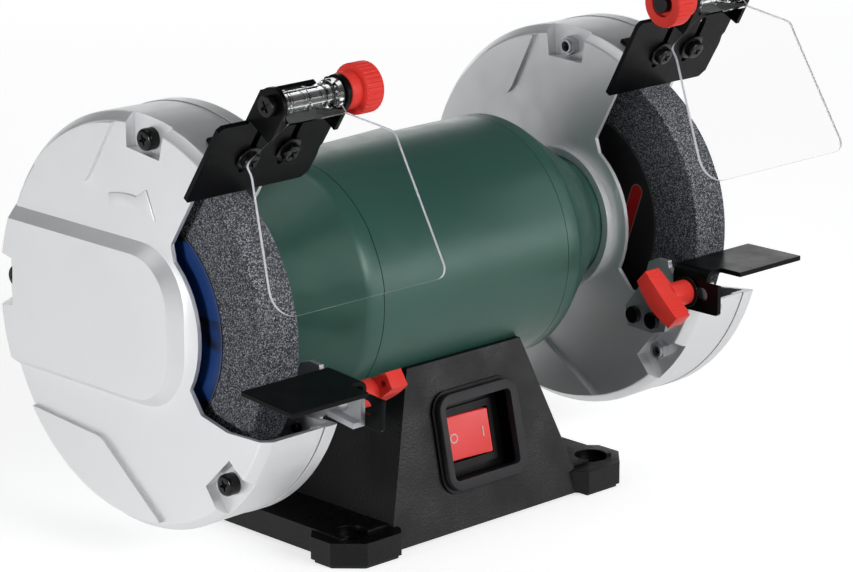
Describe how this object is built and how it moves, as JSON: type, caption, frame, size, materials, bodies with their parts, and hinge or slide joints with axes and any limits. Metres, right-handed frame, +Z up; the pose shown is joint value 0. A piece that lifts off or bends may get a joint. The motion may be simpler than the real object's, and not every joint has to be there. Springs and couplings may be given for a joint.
{
  "type": "bench grinder",
  "caption": "Twin-wheel bench grinder with guarded grinding wheels, spark guards, clear eye shields, adjustable tool rests and a rocker switch on a bolt-down base",
  "frame": {"origin": "on the bench plane, in the middle of the four foot bolts and under the middle of the shaft", "axes": "+X along the shaft, to the right for a user who stands in front; -Y toward the user; +Z up"},
  "size_m": [0.3562, 0.2094, 0.2359],
  "materials": {
    "black_shell": "black textured shell, semi-gloss",
    "cover_plate": "dark grey steel plate",
    "foot_rubber": "black rubber",
    "steel_screws": "plain steel screws",
    "surround_plastic": "dark grey plastic",
    "switch_plastic": "black plastic",
    "red_rocker": "bright red plastic",
    "capacitor_can": "drawn aluminium can",
    "terminal_plastic": "off-white plastic",
    "green_paint": "dark green satin paint",
    "lamination": "stacked steel laminations",
    "copper_wire": "enamelled copper windings",
    "bearing_steel": "ground steel",
    "grinding_stone": "grey speckled abrasive",
    "blue_label": "blue and black paper",
    "black_label": "black paper with a red bar",
    "zinc_steel": "zinc-plated steel",
    "silver_paint": "light silver satin paint",
    "black_steel": "matte black steel",
    "clear_shield": "clear moulded plastic",
    "red_plastic": "bright red plastic"
  },
  "bodies": {
    "machine": {"base_housing": "black_shell", "bottom_cover": "cover_plate", "rubber_feet": "foot_rubber", "cover_screws": "steel_screws", "switch_surround": "surround_plastic", "switch_body": "switch_plastic", "run_capacitor": "capacitor_can", "terminal_block": "terminal_plastic", "cable_gland": "switch_plastic", "motor_barrel": "green_paint", "left_end_bell": "green_paint", "right_end_bell": "green_paint", "stator_core": "lamination", "stator_windings": "copper_wire", "tie_bolts": "steel_screws", "left_bearing": "bearing_steel", "right_bearing": "bearing_steel", "left_guard_cover": "silver_paint", "left_guard_inner": "silver_paint", "right_guard_inner": "silver_paint", "right_guard_cover": "silver_paint", "guard_screws": "black_steel", "guard_nuts": "zinc_steel", "neck_screws": "steel_screws", "left_spark_bracket": "black_steel", "right_spark_bracket": "black_steel", "spark_screws": "black_steel", "left_rest_bracket": "zinc_steel", "right_rest_bracket": "zinc_steel", "rest_bracket_screws": "zinc_steel", "left_rest_bolt": "zinc_steel", "right_rest_bolt": "zinc_steel"},
    "rotor": {"shaft": "bearing_steel", "rotor_core": "lamination", "left_inner_flange": "zinc_steel", "left_wheel": "grinding_stone", "left_label": "blue_label", "left_outer_flange": "zinc_steel", "left_shaft_nut": "zinc_steel", "right_inner_flange": "zinc_steel", "right_wheel": "grinding_stone", "right_label": "black_label", "right_outer_flange": "zinc_steel", "right_shaft_nut": "zinc_steel"},
    "rocker": {"switch_rocker": "red_rocker"},
    "left_spark": {"left_spark_guard": "black_steel", "left_pivot_bolt": "black_steel"},
    "left_shield": {"left_eye_shield": "clear_shield"},
    "left_shield_clamp": {"left_shield_knob": "red_plastic"},
    "left_rest_turn": {"left_rest_washer": "zinc_steel"},
    "left_rest": {"left_tool_rest": "black_steel"},
    "left_rest_clamp": {"left_rest_knob": "red_plastic"},
    "right_spark": {"right_spark_guard": "black_steel", "right_pivot_bolt": "black_steel"},
    "right_shield": {"right_eye_shield": "clear_shield"},
    "right_shield_clamp": {"right_shield_knob": "red_plastic"},
    "right_rest_turn": {"right_rest_washer": "zinc_steel"},
    "right_rest": {"right_tool_rest": "black_steel"},
    "right_rest_clamp": {"right_rest_knob": "red_plastic"}
  },
  "joints": [
    {"name": "wheel_spin", "type": "hinge", "parent": "machine", "child": "rotor", "pos_m": [0, 0, 0.1115], "axis": [1, 0, 0], "continuous": true},
    {"name": "switch_tilt", "type": "hinge", "parent": "machine", "child": "rocker", "pos_m": [0, -0.04421, 0.03784], "axis": [0, 0.2166, 0.9763], "range_deg": [0, 16]},
    {"name": "left_spark_slide", "type": "slide", "parent": "machine", "child": "left_spark", "axis": [0, -0.5446, 0.8387], "range_m": [0, 0.006]},
    {"name": "left_shield_tilt", "type": "hinge", "parent": "left_spark", "child": "left_shield", "pos_m": [-0.12425, -0.08101, 0.21843], "axis": [-1, 0, 0], "range_deg": [-8, 75]},
    {"name": "left_shield_knob_turn", "type": "hinge", "parent": "left_spark", "child": "left_shield_clamp", "pos_m": [-0.12425, -0.08101, 0.21843], "axis": [1, 0, 0], "continuous": true},
    {"name": "left_rest_tilt", "type": "hinge", "parent": "machine", "child": "left_rest_turn", "pos_m": [-0.107, -0.086, 0.0879], "axis": [-1, 0, 0], "range_deg": [-6, 6]},
    {"name": "left_rest_slide", "type": "slide", "parent": "left_rest_turn", "child": "left_rest", "axis": [0, -0.9969, -0.0785], "range_m": [-0.001, 0.0035]},
    {"name": "left_rest_knob_turn", "type": "hinge", "parent": "machine", "child": "left_rest_clamp", "pos_m": [-0.107, -0.086, 0.0879], "axis": [1, 0, 0], "continuous": true},
    {"name": "right_spark_slide", "type": "slide", "parent": "machine", "child": "right_spark", "axis": [0, -0.4695, 0.8829], "range_m": [0, 0.006]},
    {"name": "right_shield_tilt", "type": "hinge", "parent": "right_spark", "child": "right_shield", "pos_m": [0.13495, -0.07138, 0.22509], "axis": [-1, 0, 0], "range_deg": [-8, 75]},
    {"name": "right_shield_knob_turn", "type": "hinge", "parent": "right_spark", "child": "right_shield_clamp", "pos_m": [0.13495, -0.07138, 0.22509], "axis": [1, 0, 0], "continuous": true},
    {"name": "right_rest_tilt", "type": "hinge", "parent": "machine", "child": "right_rest_turn", "pos_m": [0.107, -0.08596, 0.09272], "axis": [-1, 0, 0], "range_deg": [-6, 6]},
    {"name": "right_rest_slide", "type": "slide", "parent": "right_rest_turn", "child": "right_rest", "axis": [0, -1, 0.0087], "range_m": [-0.001, 0.002]},
    {"name": "right_rest_knob_turn", "type": "hinge", "parent": "machine", "child": "right_rest_clamp", "pos_m": [0.107, -0.08596, 0.09272], "axis": [1, 0, 0], "continuous": true}
  ]
}
